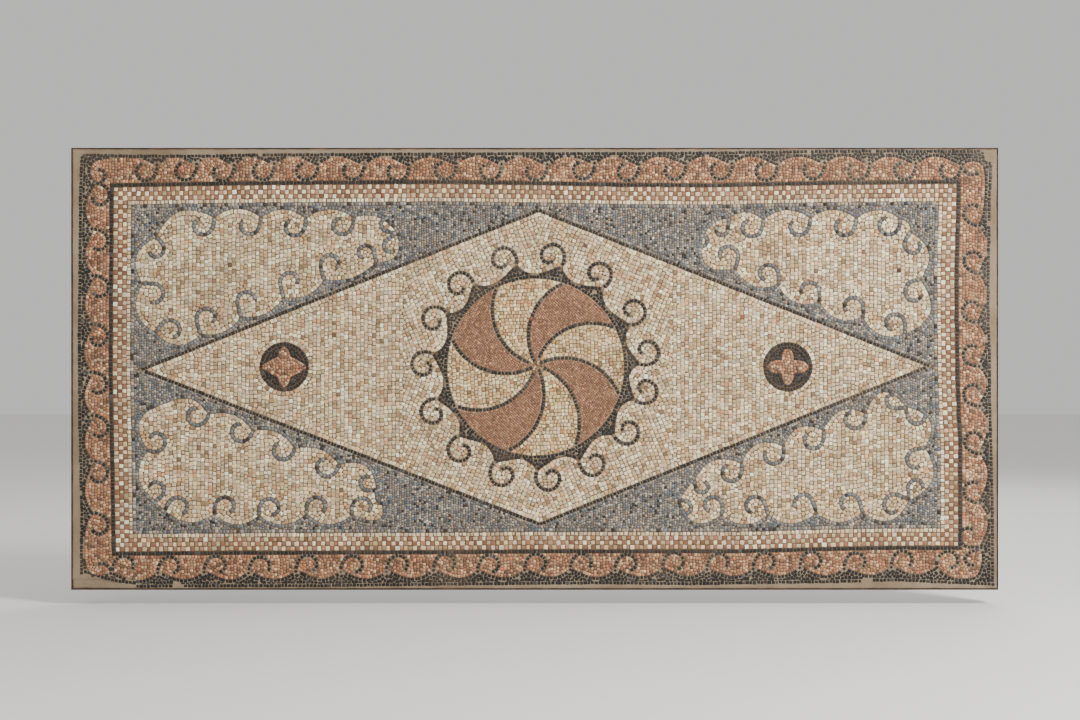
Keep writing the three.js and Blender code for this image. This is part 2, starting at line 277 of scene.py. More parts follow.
# The four corners have a small hook each, fed by the corner crest and wound the other way.
CORNER_HOOKS = [
    [[-868, 370], [-860, 377], [-857, 387], [-861, 396], [-872, 397]],
    [[851, 402], [858, 394], [868, 388], [879, 387], [886, 393]],
    [[887, -360], [872, -364], [859, -373], [859, -386], [868, -393], [878, -391]],
    [[-845, -403], [-852, -393], [-862, -387], [-872, -390]],
]
CLOUDS = {
    "top_left": [
        nick(-755, 262, 34, curls=[(-757, 240, 17, 1)]),
        *run([-640, 301], [-363, 300], 4, turn=1, along=22, inward=13.5),
        nick(-276, 270, 25, curls=[(-293, 288, 14, 1), (-287, 246, 14, -1)]),
        nick(-317, 213, 14, curls=[(-337, 230, 16, -1)]),
        *run([-420, 178], [-585, 106], 3, 15, turn=1, along=23, inward=22),
        nick(-667, 70, 24, curls=[(-655, 100, 20, 1)]),
        nick(-757, 72, 26, curls=[(-728, 77, 20, 1)]),
        nick(-782, 170, 28, curls=[(-762, 150, 20, 1)]),
    ],
    "bottom_left": [
        *run([-651, -92], [-478, -159], 3, 17, turn=1, along=20.5, inward=9),
        nick(-391, -192, 27, curls=[(-415, -195, 20, 1)]),
        nick(-316, -241, 46, curls=[(-333, -228, 15, 1), (-302, -256, 13, -1)]),
        *run([-365, -290], [-640, -290], 4, 21, turn=1, along=20, inward=12.5),
        nick(-738, -282, 2, curls=[(-713, -277, 20, 1)]),
        nick(-757, -263, 26, curls=[(-757, -243, 17, -1)]),
        nick(-772, -163, 0,
             [[-789, -135], [-791, -108], [-777, -86], [-745, -71], [-703, -57], [-672, -64]],
             [(-757, -146, 19, -1)]),
    ],
    "top_right": [
        nick(386, 300, 14, curls=[(373, 280, 13, 1)]),
        *run([456, 297], [643, 301], 3, turn=1, along=23, inward=13),
        nick(729, 298, 8, curls=[(707, 288, 20, 1)]),
        nick(750, 272, 28, curls=[(755, 248, 17, -1)]),
        nick(768, 178, 38, curls=[(759, 155, 20, -1)]),
        *run([738, 70], [484.5, 167.5], 4, 20, turn=-1, along=24.5, inward=11),
        nick(400, 200, 38, curls=[(386, 224, 20, -1)]),
        nick(338, 268, 8, curls=[(333, 255, 11, 1)]),
    ],
    "bottom_right": [
        nick(318, -224, 25, curls=[(334, -234, 13, -1)]),
        *run([413, -190], [578.3, -123.3], 3, 25, turn=1, along=24.5, inward=6),
        nick(661, -90, 37, curls=[(639, -99, 20, 1)]),
        nick(741, -77, 32, curls=[(717, -64, 15, 1), (762, -92, 18, -1)]),
        nick(778, -158, 33, curls=[(762, -180, 19, -1)]),
        nick(747, -262, 30, curls=[(761, -238, 16, 1), (717, -271, 20, -1)]),
        *run([654, -286], [466.7, -289.3], 3, 20, turn=-1, along=24.5, inward=16.5),
        nick(373, -291, 33, curls=[(356, -274, 18, -1)]),
        nick(291, -262, 3, curls=[(299, -277, 13, 1)]),
    ],
}


# ---- the straight bands, which sway a little where the setter's line was off
SWAY_TOP = [[-840, -600, -180, 20, 180, 350, 500, 600, 840], [-3, 1, 4, 1, -2, -3, 0, 2, 4]]
SWAY_BOTTOM = [[-840, -600, -200, 0, 400, 550, 700, 850], [-4, -2, -1, 1, 1, 5, 8, 8]]
SWAY_LEFT = [[-365, 0, 369], [4, -2, 0]]
SWAY_RIGHT = [[-350, -150, -100, 0, 100, 200, 360], [5, 5, 2, -1, -2, -2, 2]]


def swayed(points):
    """Points of the bands moved as their sides are, by their share of the sides to either hand."""
    x, z = points[..., 0], points[..., 1]
    up = np.clip((z - FRAME_MIDDLE) / (2 * PINK_INNER[1]) + 0.5, 0, 1)
    right = np.clip(x / (2 * PINK_INNER[0]) + 0.5, 0, 1)
    dz = np.interp(x, *SWAY_TOP) * up + np.interp(x, *SWAY_BOTTOM) * (1 - up)
    dx = np.interp(z, *SWAY_RIGHT) * right + np.interp(z, *SWAY_LEFT) * (1 - right)
    return points + np.stack([dx, dz], -1)


def band_rectangle(inset):
    """The closed rectangle this far inside the wave border, in small steps, before it sways."""
    x, z = PINK_INNER - inset
    corners = np.array([[-x, -z], [x, -z], [x, z], [-x, z], [-x, -z]]) + [0, FRAME_MIDDLE]
    sides = [np.linspace(a, b, 80)[:-1] for a, b in zip(corners[:-1], corners[1:])]
    return closed(np.concatenate(sides))


# The edge of the picture, anticlockwise. Its lower left corner is lost.
PICTURE_EDGE = np.array([
    [-795, -437], [-600, -436], [-430, -436], [-100, -432], [150, -430], [310, -432], [500, -429],
    [640, -427], [715, -424], [800, -428], [917, -433], [917, -310], [913, -130], [911, -60],
    [911, 20], [908, 130],
    [909, 230], [911, 350], [914, 412], [899, 415], [897, 437.5], [600, 437.5], [500, 436], [400, 434.5],
    [200, 433], [-100, 432.5], [-300, 431.5], [-550, 430], [-650, 428], [-800, 427.5], [-893, 430],
    [-906, 426], [-909, 370], [-912, 60], [-911, -110], [-907, -290], [-908, -413], [-895, -408],
    [-860, -420], [-830, -427], [-800, -430],
], float)


# ---- the raster
CORNER = PANEL_LOW[[0, 2]]
COLUMNS, ROWS = (int(math.ceil(side / CELL)) for side in (PANEL_HIGH - PANEL_LOW)[[0, 2]])
COARSE = 2 * CELL
COARSE_COLUMNS, COARSE_ROWS = COLUMNS // 2 + 1, ROWS // 2 + 1


def in_cells(points):
    """Points in cells of the raster, so that whole numbers fall on the middles of cells."""
    return (points - CORNER) / CELL - 0.5


def filled(outline):
    """The cells inside a closed outline: along each row, those past an odd number of its sides."""
    a = in_cells(outline)
    b = np.roll(a, -1, axis=0)
    low = np.ceil(np.minimum(a[:, 1], b[:, 1])).astype(int)
    count = np.ceil(np.maximum(a[:, 1], b[:, 1])).astype(int) - low
    side = np.repeat(np.arange(len(a)), count)
    row = low[side] + np.arange(count.sum()) - np.repeat(np.cumsum(count) - count, count)
    share = (row - a[side, 1]) / (b[side, 1] - a[side, 1])
    column = np.ceil(a[side, 0] + share * (b[side, 0] - a[side, 0])).astype(int)
    inside = (row >= 0) & (row < ROWS)
    turns = np.zeros((ROWS, COLUMNS + 1), np.uint8)
    np.add.at(turns, (row[inside], np.clip(column[inside], 0, COLUMNS)), 1)
    return np.cumsum(turns, axis=1, dtype=np.uint8)[:, :COLUMNS] & 1 == 1


def near(paths, half):
    """The cells whose middles are within half a width of some paths."""
    mask = np.zeros((ROWS, COLUMNS), bool)
    reach = int(math.ceil(half / CELL)) + 1
    steps = np.arange(-reach, reach + 1)
    around = np.stack(np.meshgrid(steps, steps), -1).reshape(-1, 2)
    for path in paths:
        if len(path) < 2:
            continue
        points = in_cells(resampled(path, CELL))
        cells = np.rint(points).astype(int)[:, None] + around
        hit = np.hypot(*np.moveaxis(cells - points[:, None], -1, 0)) * CELL <= half
        column, row = cells[hit].T
        inside = (column >= 0) & (column < COLUMNS) & (row >= 0) & (row < ROWS)
        mask[row[inside], column[inside]] = True
    return mask


def guide_map(paths, reach):
    """What `nearest` looks up: points along some paths, the directions there, and a map of cells.

    The map gives each coarse cell within reach the number of the point nearest to it, and -1 elsewhere.
    """
    lines = [resampled(path, COARSE) for path in paths if len(path) > 1]
    points = np.concatenate(lines)
    along = np.concatenate([np.gradient(line, axis=0) for line in lines])
    along /= np.maximum(np.hypot(*along.T)[:, None], 1e-9)
    column, row = np.rint((points - CORNER) / COARSE - 0.5).astype(int).T
    best = np.full(COARSE_ROWS * COARSE_COLUMNS, np.inf)
    owner = np.full(COARSE_ROWS * COARSE_COLUMNS, -1)
    index = np.arange(len(points))
    window = int(math.ceil(reach / COARSE))
    steps = range(-window, window + 1)
    around = [(i, j) for i in steps for j in steps if math.hypot(i, j) * COARSE <= reach + COARSE]
    for i, j in around:
        r = np.clip(row + i, 0, COARSE_ROWS - 1)
        c = np.clip(column + j, 0, COARSE_COLUMNS - 1)
        gap = np.hypot((c + 0.5) * COARSE + CORNER[0] - points[:, 0],
                       (r + 0.5) * COARSE + CORNER[1] - points[:, 1])
        spot = r * COARSE_COLUMNS + c
        better = gap < best[spot]
        best[spot[better]] = gap[better]
        owner[spot[better]] = index[better]
    return points, along, owner.reshape(COARSE_ROWS, COARSE_COLUMNS)


def nearest(places, guide):
    """Each place's distance to the nearest path of a guide map, and that path's direction there."""
    points, along, owner = guide
    column, row = np.rint((places - CORNER) / COARSE - 0.5).astype(int).T
    number = owner[row.clip(0, COARSE_ROWS - 1), column.clip(0, COARSE_COLUMNS - 1)]
    apart = places - points[number]
    direction = along[number]
    ahead = np.abs((apart * direction).sum(1))
    aside = np.abs(apart[:, 0] * direction[:, 1] - apart[:, 1] * direction[:, 0])
    distance = np.hypot(np.maximum(ahead - COARSE, 0), aside)
    return np.where(number >= 0, distance, np.inf), direction


# ---- laying stones
# Parts of a whole stone's area: a stone with less than the first, or near the end the second, is
# taken out, one with more than the third is split, and a finished one keeps at least the fourth.
SMALL, SMALLEST, LARGE, LEAST_AREA = 0.42, 0.2, 1.6, 0.22


def generator(name):
    """Random numbers that depend on a piece's name alone."""
    return np.random.default_rng(list(name.encode()))


def rectangles(centres, directions, lengths, widths):
    """Rectangles about their centres, anticlockwise, as (n, 4, 2)."""
    along = directions * np.reshape(lengths, (-1, 1)) / 2
    across = np.stack([-directions[:, 1], directions[:, 0]], -1) * np.reshape(widths, (-1, 1)) / 2
    return np.stack([centres - along - across, centres + along - across,
                     centres + along + across, centres - along + across], 1)


def turned(directions, angle):
    """Unit directions turned anticlockwise by angles in radians."""
    cos, sin = np.cos(angle), np.sin(angle)
    x, z = directions.T
    return np.stack([x * cos - z * sin, x * sin + z * cos], -1)


def row_of_stones(path, rng, width=LINE, pitch=BLACK_PITCH, fill=0.93):
    """Stones one after another along a path, unevenly cut, each a little off line and askew."""
    total = lengths_along(path)[-1]
    count = max(1, int(round(total / pitch)))
    cuts = np.arange(count + 1, dtype=float)
    cuts[1:-1] += rng.normal(0, 0.1, count - 1).clip(-0.22, 0.22)
    cuts *= total / count
    middles = (cuts[1:] + cuts[:-1]) / 2
    centres = at(path, middles)
    ahead = at(path, np.minimum(middles + 1, total)) - at(path, np.maximum(middles - 1, 0))
    directions = ahead / np.maximum(np.hypot(*ahead.T)[:, None], 1e-9)
    centres = centres + rng.normal(0, 0.28, (count, 2))
    directions = turned(directions, rng.normal(0, 0.08, count))
    widths = width * rng.normal(0.96, 0.06, count).clip(0.8, 1.05)
    stones = rectangles(centres, directions, np.diff(cuts) * fill, widths)
    return stones + rng.normal(0, 0.2, stones.shape)


def uncrowded(stones, least=4.6):
    """Stones without those whose middle is too near the middle of an earlier one."""
    middles = stones.mean(1)
    gap = np.hypot(*np.moveaxis(middles[:, None] - middles, -1, 0))
    crowded = np.tril(gap < least, -1).any(1)
    return stones[~crowded]


def areas(stones):
    """Areas of polygons given anticlockwise, by the shoelace formula."""
    after = np.roll(stones, -1, axis=1)
    return (stones[..., 0] * after[..., 1] - stones[..., 1] * after[..., 0]).sum(1) / 2


def spread_over(low, high, count=12):
    """An even lattice of places between two corners."""
    x, z = np.meshgrid(*(np.linspace(a, b, count) for a, b in zip(low, high)))
    return np.stack([x, z], -1).reshape(-1, 2)


def lay(field, size, guides, rng, rows=2, reach=2.2, lean=None, rounds=6):
    """Stones that fill a field of cells, in rows along its guides and square to `lean` elsewhere.

    Each stone takes the cells that are nearest to it, by the larger of the two distances along its
    own directions, and moves to their middle, a few times over. Stones that got too few cells are
    taken out and those that got too many are split. A corner of a stone is as far again from its
    middle as the middle of its cells in that quarter, which is exact for a rectangle.
    """
    guides = [resampled(path, size / 2) for path in guides if len(path) > 1]
    guide = guide_map(guides, max(reach, rows + 0.6) * size)
    window = int(math.ceil(size / CELL))
    where = np.argwhere(field)
    if not len(where):
        return np.zeros((0, 4, 2))
    first = where.min(0) - window - 1
    shape = where.max(0) + window + 2 - first
    open_cells = np.zeros(shape, bool)
    open_cells[where[:, 0] - first[0], where[:, 1] - first[1]] = True
    origin = CORNER + (first[::-1] + 0.5) * CELL
    flat = open_cells.ravel()
    spots = np.flatnonzero(flat)
    cell_x = origin[0] + spots % shape[1] * CELL
    cell_z = origin[1] + spots // shape[1] * CELL

    def directions_at(points):
        """Along the nearest guide close to one, and square to the lean elsewhere."""
        angle = np.zeros(len(points)) if lean is None else lean(points)
        base = np.stack([np.cos(angle), np.sin(angle)], -1)
        distance, along = nearest(points, guide)
        return np.where((distance < reach * size)[:, None], along, base)

    def is_open(points):
        column, row = np.rint((points - origin) / CELL).astype(int).T
        inside = (column >= 0) & (column < shape[1]) & (row >= 0) & (row < shape[0])
        hit = np.zeros(len(points), bool)
        hit[inside] = open_cells[row[inside], column[inside]]
        return hit

    # Seeds: rows along both sides of each guide, then a plain grid beyond them.
    seeds = []
    for k in range(rows):
        away = (k + 0.5) * size
        ring = np.concatenate([
            moved_left(resampled(path, size), side * away) for path in guides for side in (1, -1)
        ])
        seeds.append(ring[nearest(ring, guide)[0] > away - 0.25 * size])
    low, high = np.array([cell_x.min(), cell_z.min()]), np.array([cell_x.max(), cell_z.max()])
    middle, half = (low + high) / 2, np.hypot(*(high - low)) / 2 + size
    steps = np.arange(-half, half, size)
    grid_x, grid_z = np.meshgrid(steps, steps)
    grid_z = grid_z + rng.uniform(0, size, len(steps))
    grid = np.stack([grid_x, grid_z], -1).reshape(-1, 2)
    leans = [0.0] if lean is None else np.unique(lean(spread_over(low, high)))
    for angle in leans:
        leant = middle + turned(grid, np.full(len(grid), angle))
        if lean is not None:
            leant = leant[lean(leant) == angle]
        seeds.append(leant[nearest(leant, guide)[0] > (rows + 0.2) * size])
    seeds = np.concatenate(seeds)
    seeds = seeds[is_open(seeds)]
    seeds = seeds + rng.normal(0, 0.05 * size, seeds.shape)

    steps = np.arange(-window, window + 1)
    around = [(i, j) for i in steps for j in steps if max(abs(i), abs(j)) * CELL <= 1.02 * size]
    for turn in range(rounds):
        count = len(seeds)
        ripple = 5 * np.sin(seeds @ [0.9, -1.3] / size)
        cut = np.exp(0.1 * np.sin(seeds @ [1.7, 2.3] / size * 2.1 + ripple))
        directions = turned(directions_at(seeds), 0.09 * np.sin(seeds @ [2.9, 1.1] / size * 1.7))
        column, row = np.rint((seeds - origin) / CELL).astype(int).T
        best = np.full(flat.size, np.inf)
        owner = np.full(flat.size, -1)
        index = np.arange(count)
        for i, j in around:
            r = np.clip(row + i, 0, shape[0] - 1)
            c = np.clip(column + j, 0, shape[1] - 1)
            dx = origin[0] + c * CELL - seeds[:, 0]
            dz = origin[1] + r * CELL - seeds[:, 1]
            u = np.abs(dx * directions[:, 0] + dz * directions[:, 1]) * cut
            v = np.abs(dz * directions[:, 0] - dx * directions[:, 1]) / cut
            measure = np.maximum(u, v) + 0.08 * np.minimum(u, v)
            spot = r * shape[1] + c
            better = flat[spot] & (measure < best[spot])
            best[spot[better]] = measure[better]
            owner[spot[better]] = index[better]
        mine = owner[spots]
        taken = mine >= 0
        number = np.bincount(mine[taken], minlength=count)
        share = number * CELL**2 / size**2
        total = np.maximum(number, 1)
        centre_x = np.bincount(mine[taken], cell_x[taken], count) / total
        centre_z = np.bincount(mine[taken], cell_z[taken], count) / total
        centres = np.stack([centre_x, centre_z], -1)
        if turn == rounds - 1:
            break
        keep = share > (SMALL if turn < rounds - 2 else SMALLEST)
        large = keep & (share > LARGE)
        split = directions[large] * size * 0.3
        free = spots[~taken]
        lattice = max(2, int(round(size / CELL)))
        lone = (free // shape[1] % lattice == 0) & (free % shape[1] % lattice == 0)
        lone_x = origin[0] + free[lone] % shape[1] * CELL
        lone_z = origin[1] + free[lone] // shape[1] * CELL
        seeds = np.concatenate([
            centres[keep & ~large], centres[large] + split, centres[large] - split,
            np.stack([lone_x, lone_z], -1),
        ])

    dx, dz = cell_x[taken] - centre_x[mine[taken]], cell_z[taken] - centre_z[mine[taken]]
    along = directions[mine[taken]]
    u = dx * along[:, 0] + dz * along[:, 1]
    v = dz * along[:, 0] - dx * along[:, 1]
    quarter = mine[taken] * 4 + np.where(v < 0, np.where(u < 0, 0, 1), np.where(u < 0, 3, 2))
    number = np.maximum(np.bincount(quarter, minlength=4 * count), 1)
    mean_u = np.bincount(quarter, u, 4 * count) / number
    mean_v = np.bincount(quarter, v, 4 * count) / number
    corner = 2 * np.stack([mean_u, mean_v], -1).reshape(count, 4, 2)
    along = directions[:, None]
    across = np.stack([-directions[:, 1], directions[:, 0]], -1)[:, None]
    stones = centres[:, None] + corner[..., :1] * along + corner[..., 1:] * across
    stones = stones + rng.normal(0, 0.045 * size, stones.shape)
    return stones[(areas(stones) > LEAST_AREA * size**2) & (share > SMALLEST)]


# ---- colours, as red, green and blue from 0 to 255
# Each palette: its colours, the share of the stones that have each, and how far their lightness strays.
CREAM_SHARES = [0.46, 0.28, 0.18, 0.05, 0.03]
SLATE_SHARES = [0.42, 0.26, 0.22, 0.1]
PALETTES = {
    "cream": (
        [(214, 188, 148), (236, 216, 180), (194, 160, 118), (200, 154, 110), (152, 122, 88)],
        CREAM_SHARES, 0.1,
    ),
    "petal cream": (
        [(214, 182, 132), (236, 210, 166), (192, 150, 100), (200, 146, 98), (140, 108, 74)],
        CREAM_SHARES, 0.08,
    ),
    "pink": (
        [(174, 126, 94), (208, 166, 128), (148, 102, 76), (192, 124, 86), (116, 86, 68)],
        [0.38, 0.24, 0.2, 0.08, 0.1], 0.1,
    ),
    "brown pink": ([(158, 114, 86), (178, 134, 102), (138, 96, 70)], [0.56, 0.22, 0.22], 0.08),
    "grey": (
        [(134, 127, 118), (168, 158, 142), (108, 107, 104), (94, 104, 112), (44, 43, 43), (164, 136, 110)],
        [0.32, 0.22, 0.18, 0.17, 0.06, 0.05], 0.12,
    ),
    "rim": ([(118, 120, 120), (138, 132, 124), (98, 102, 106), (54, 52, 52)], SLATE_SHARES, 0.09),
    "slate": ([(110, 114, 116), (128, 128, 124), (88, 92, 96), (42, 42, 44)], SLATE_SHARES, 0.09),
    "black": ([(17, 16, 16), (28, 28, 30), (10, 9, 8), (56, 56, 58)], [0.44, 0.27, 0.22, 0.07], 0.12),
    "white": ([(224, 200, 164), (204, 174, 134), (240, 222, 192)], [0.5, 0.28, 0.22], 0.1),
    "brown": ([(150, 106, 76), (130, 86, 58), (168, 126, 94)], [0.5, 0.3, 0.2], 0.07),
}
HUE_STRAY = 0.018
SOIL = (112, 92, 70)


def linear(colour):
    """Colours from 0 to 255 on a screen's scale, as parts of light."""
    c = np.clip(np.asarray(colour, float) / 255, 0, 1)
    return np.where(c <= 0.04045, c / 12.92, ((c + 0.055) / 1.055) ** 2.4)


def colours(count, palette, rng):
    """A palette's colour for each stone, lighter or darker at random and a little off in hue."""
    kinds, shares, stray = PALETTES[palette]
    picked = np.array(kinds, float)[rng.choice(len(kinds), count, p=shares)]
    lightness = np.exp(rng.normal(0, stray, (count, 1)))
    return picked * lightness * np.exp(rng.normal(0, HUE_STRAY, (count, 3)))


# ---- meshes
def mesh_object(name, points, faces, material):
    """A mesh from points in millimetres and arrays of faces, each array with one number of corners."""
    mesh = bpy.data.meshes.new(name)
    mesh.vertices.add(len(points))
    mesh.vertices.foreach_set("co", (points * MM).astype(np.float32).ravel())
    corners = np.concatenate([f.ravel() for f in faces]).astype(np.int32)
    sizes = np.concatenate([np.full(len(f), f.shape[1]) for f in faces])
    mesh.loops.add(len(corners))
    mesh.loops.foreach_set("vertex_index", corners)
    mesh.polygons.add(len(sizes))
    mesh.polygons.foreach_set("loop_start", (np.cumsum(sizes) - sizes).astype(np.int32))
    mesh.update(calc_edges=True)
    mesh.validate()
    low, high = points.min(0), points.max(0)
    flat_map = ((points - low) / np.maximum(high - low, 1e-6))[:, [0, 2]]
    layer = mesh.uv_layers.new(name="OFBake")
    layer.data.foreach_set("uv", flat_map[corners].astype(np.float32).ravel())
    mesh.materials.append(material)
    piece = bpy.data.objects.new(name, mesh)
    bpy.context.scene.collection.objects.link(piece)
    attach(piece, "root")
    return piece


def drawn_in(stones, by):
    """Polygons drawn in towards their middles, so that their sides move by about this much."""
    middles = stones.mean(1, keepdims=True)
    around = np.hypot(*np.moveaxis(np.roll(stones, -1, 1) - stones, -1, 0)).sum(1)
    inner = 2 * np.abs(areas(stones)) / np.maximum(around, 1e-6)
    scale = np.clip(1 - by / np.maximum(inner, 1e-6), 0.35, 1)[:, None, None]
    return middles + (stones - middles) * scale


def blocks(stones, tones, rng, joint, foot, worn):
    """Points, faces and colours of closed blocks: a foot in the mortar, a shoulder and a face.

    The face of each stays `joint` inside its share of the field, is tilted at random and lies up to
    PROUD deeper than the finished face. A worn stone has a bevel between shoulder and face, and the
    others have the face alone. The foot has the colour of the mortar that clings to it.
    """
    count = len(stones)
    middles = stones.mean(1, keepdims=True)
    tilt = rng.normal(0, 0.022, (count, 2))
    level = FACE + 0.08 + rng.uniform(0, PROUD, count)
    slope = ((stones - middles) * tilt[:, None]).sum(2)
    face_y = np.maximum(level[:, None] + slope, FACE + 0.01)
    uneven = rng.uniform(0.6, 1.5, count)
    outlines = [drawn_in(stones, joint * 0.3), drawn_in(stones, joint * uneven)]
    depths = [np.full((count, 4), FACE + STONE_DEPTH), face_y]
    shown = [np.broadcast_to(np.array(foot, float), tones.shape), tones]
    if worn:
        outlines.append(drawn_in(stones, joint * uneven + BEVEL))
        depths[1] = face_y + BEVEL / 2
        depths.append(face_y)
        shown.append(tones)
    rings = [np.stack([o[..., 0], y, o[..., 1]], -1) for o, y in zip(outlines, depths)]
    points = np.stack(rings, 1).reshape(-1, 3)
    per = 4 * len(rings)
    base = np.arange(count)[:, None] * per
    faces = [base + [3, 2, 1, 0]]
    for ring in range(len(rings) - 1):
        for i in range(4):
            j = (i + 1) % 4
            faces.append(base + [4 * ring + i, 4 * ring + j, 4 * ring + 4 + j, 4 * ring + 4 + i])
    faces.append(base + per - 4 + np.arange(4))
    return points, faces, np.repeat(np.stack(shown, 1), 4, axis=1).reshape(-1, 3)


# Places where stones have fallen out, as (x, z, radius), and single stones of another colour.
LOST = [
    (678, 435, 6), (906, 290, 6), (900, -297, 7), (660, -425, 8), (672, -425, 5), (801, -379, 6),
    (-842, -428, 6), (-907, -250, 6), (548, 433, 5), (-545, 427, 5), (-712, -430, 8), (-790, -405, 4),
]
ODD = [
    (730, 200, (70, 40, 34)), (785, 246, (34, 32, 32)), (413, 105, (150, 80, 56)),
    (-398, 70, (112, 74, 52)), (-8, 97, (128, 66, 46)), (100, 247, (110, 62, 48)),
    (500, 320, (36, 34, 34)), (808, -283, (36, 34, 34)), (-803, 197, (30, 28, 28)),
    (160, -324, (34, 32, 32)), (-180, -323, (34, 32, 32)), (300, 300, (34, 32, 32)),
    (340, 292, (34, 32, 32)), (-605, 206, (96, 66, 50)), (-152, 418, (120, 50, 40)),
    (655, 234, (130, 92, 64)),
]
ODD_REACH = 5  # how near a stone has to lie to an odd place


def standing(stones):
    """Which stones are still in their bed."""
    middles = stones.mean(1)
    return np.all([np.hypot(*(middles - [x, z]).T) >= radius for x, z, radius in LOST], axis=0)


def with_odd_stones(stones, tones):
    """The stones' colours, with the stone nearest to each odd place in the odd colour."""
    middles, tones = stones.mean(1), tones.copy()
    for x, z, colour in ODD:
        gap = np.hypot(*(middles - [x, z]).T)
        if len(gap) and gap.min() < ODD_REACH:
            tones[gap.argmin()] = colour
    return tones


def stone_piece(name, stones, tones, nodes, kind):
    """One piece of many stones of a kind, less those that are lost, which stands for some nodes."""
    slot, material, joint, foot, worn = KINDS[kind]
    kept = standing(stones)
    stones = stones[kept]
    tones = with_odd_stones(stones, tones[kept])
    points, faces, shown = blocks(stones, tones, generator(name), joint, foot, worn)
    piece = mesh_object(name, points, faces, material)
    layer = piece.data.attributes.new("stone", "FLOAT_COLOR", "POINT")
    values = np.concatenate([linear(shown), np.ones((len(shown), 1))], 1)
    layer.data.foreach_set("color", values.astype(np.float32).ravel())
    if nodes:
        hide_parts(*nodes)
    return piece


def in_parts(name, stones, tones, nodes, kind, columns=4, rows=2):
    """The same as several pieces side by side, so that none has too many faces."""
    middles = stones.mean(1)
    share = (middles - PANEL_LOW[[0, 2]]) / (PANEL_HIGH - PANEL_LOW)[[0, 2]]
    part = (share * [columns, rows]).astype(int).clip(0, [columns - 1, rows - 1])
    for row in range(rows):
        for column in range(columns):
            here = (part[:, 0] == column) & (part[:, 1] == row)
            if here.any():
                label = f"{name}_{'lower' if row == 0 else 'upper'}_{column + 1}"
                stone_piece(label, stones[here], tones[here], nodes, kind)


# ---- materials
def tree_and_shader(material):
    """A material's node tree, and the shader in it."""
    material.use_nodes = True
    tree = material.node_tree
    return tree, tree.nodes["Principled BSDF"]


def noise(tree, scale, detail=3.0, roughness=0.6):
    """Noise over Object coordinates, with `scale` grains to a metre."""
    coordinates = tree.nodes.new("ShaderNodeTexCoord")
    texture = tree.nodes.new("ShaderNodeTexNoise")
    texture.inputs["Scale"].default_value = scale
    texture.inputs["Detail"].default_value = detail
    texture.inputs["Roughness"].default_value = roughness
    tree.links.new(coordinates.outputs["Object"], texture.inputs["Vector"])
    return texture.outputs["Fac"]


def mapped(tree, value, low, high, new_low, new_high):
    """A value in one range, clamped and carried over to another."""
    node = tree.nodes.new("ShaderNodeMapRange")
    sockets = ("From Min", "From Max", "To Min", "To Max")
    for socket, number in zip(sockets, (low, high, new_low, new_high)):
        node.inputs[socket].default_value = number
    tree.links.new(value, node.inputs["Value"])
    return node.outputs["Result"]


def mixed(tree, share, first, second, blend="MIX"):
    """Two colours mixed by a share. Either may be a socket or a colour from 0 to 255."""
    node = tree.nodes.new("ShaderNodeMix")
    node.data_type = "RGBA"
    node.blend_type = blend
    for socket, value in zip((6, 7), (first, second)):
        if isinstance(value, tuple):
            node.inputs[socket].default_value = (*linear(value), 1)
        else:
            tree.links.new(value, node.inputs[socket])
    if isinstance(share, float):
        node.inputs[0].default_value = share
    else:
        tree.links.new(share, node.inputs[0])
    return node.outputs[2]


def bumped(tree, shader, height, strength, distance):
    """Fine relief on the shader's normal."""
    node = tree.nodes.new("ShaderNodeBump")
    node.inputs["Strength"].default_value = strength
    node.inputs["Distance"].default_value = distance
    tree.links.new(height, node.inputs["Height"])
    tree.links.new(node.outputs["Normal"], shader.inputs["Normal"])


def stone_material(name, rough_low, rough_high, veins):
    """Stone: each its own colour, clouded within, soiled in broad patches, with a fine grain."""
    material = bpy.data.materials.new(name)
    tree, shader = tree_and_shader(material)
    attribute = tree.nodes.new("ShaderNodeAttribute")
    attribute.attribute_name = "stone"
    cloud = mapped(tree, noise(tree, 420), 0.3, 0.7, 1 - veins, 1 + veins)
    clouded = tree.nodes.new("ShaderNodeVectorMath")
    clouded.operation = "SCALE"
    tree.links.new(attribute.outputs["Color"], clouded.inputs[0])
    tree.links.new(cloud, clouded.inputs["Scale"])
    dirt = mapped(tree, noise(tree, 9, 5), 0.48, 0.78, 0.0, 0.3)
    soiled = mixed(tree, dirt, clouded.outputs["Vector"], SOIL)
    tree.links.new(soiled, shader.inputs["Base Color"])
    roughness = mapped(tree, noise(tree, 160), 0.3, 0.7, rough_low, rough_high)
    tree.links.new(roughness, shader.inputs["Roughness"])
    bumped(tree, shader, noise(tree, 900), 0.35, 0.0004)
    return material


def mortar_material():
    """Lime cement: beige, gritty, stained brown in broad patches, and darker where soil lies in it."""
    material = bpy.data.materials.new("mortar")
    tree, shader = tree_and_shader(material)
    clouds = mapped(tree, noise(tree, 14, 5), 0.35, 0.65, 0.0, 1.0)
    base = mixed(tree, clouds, (136, 116, 92), (156, 138, 112))
    grains = mapped(tree, noise(tree, 600, 2), 0.55, 0.72, 0.0, 0.45)
    grit = mixed(tree, grains, base, (96, 80, 62))
    stains = mapped(tree, noise(tree, 5, 4), 0.52, 0.75, 0.0, 0.55)
    stained = mixed(tree, stains, grit, (104, 82, 60))
    soiled = tree.nodes.new("ShaderNodeAttribute")
    soiled.attribute_name = "soiled"
    darkened = mixed(tree, soiled.outputs["Fac"], stained, (88, 66, 44))
    tree.links.new(darkened, shader.inputs["Base Color"])
    shader.inputs["Roughness"].default_value = 0.95
    bumped(tree, shader, noise(tree, 420, 6), 0.6, 0.0012)
    return material


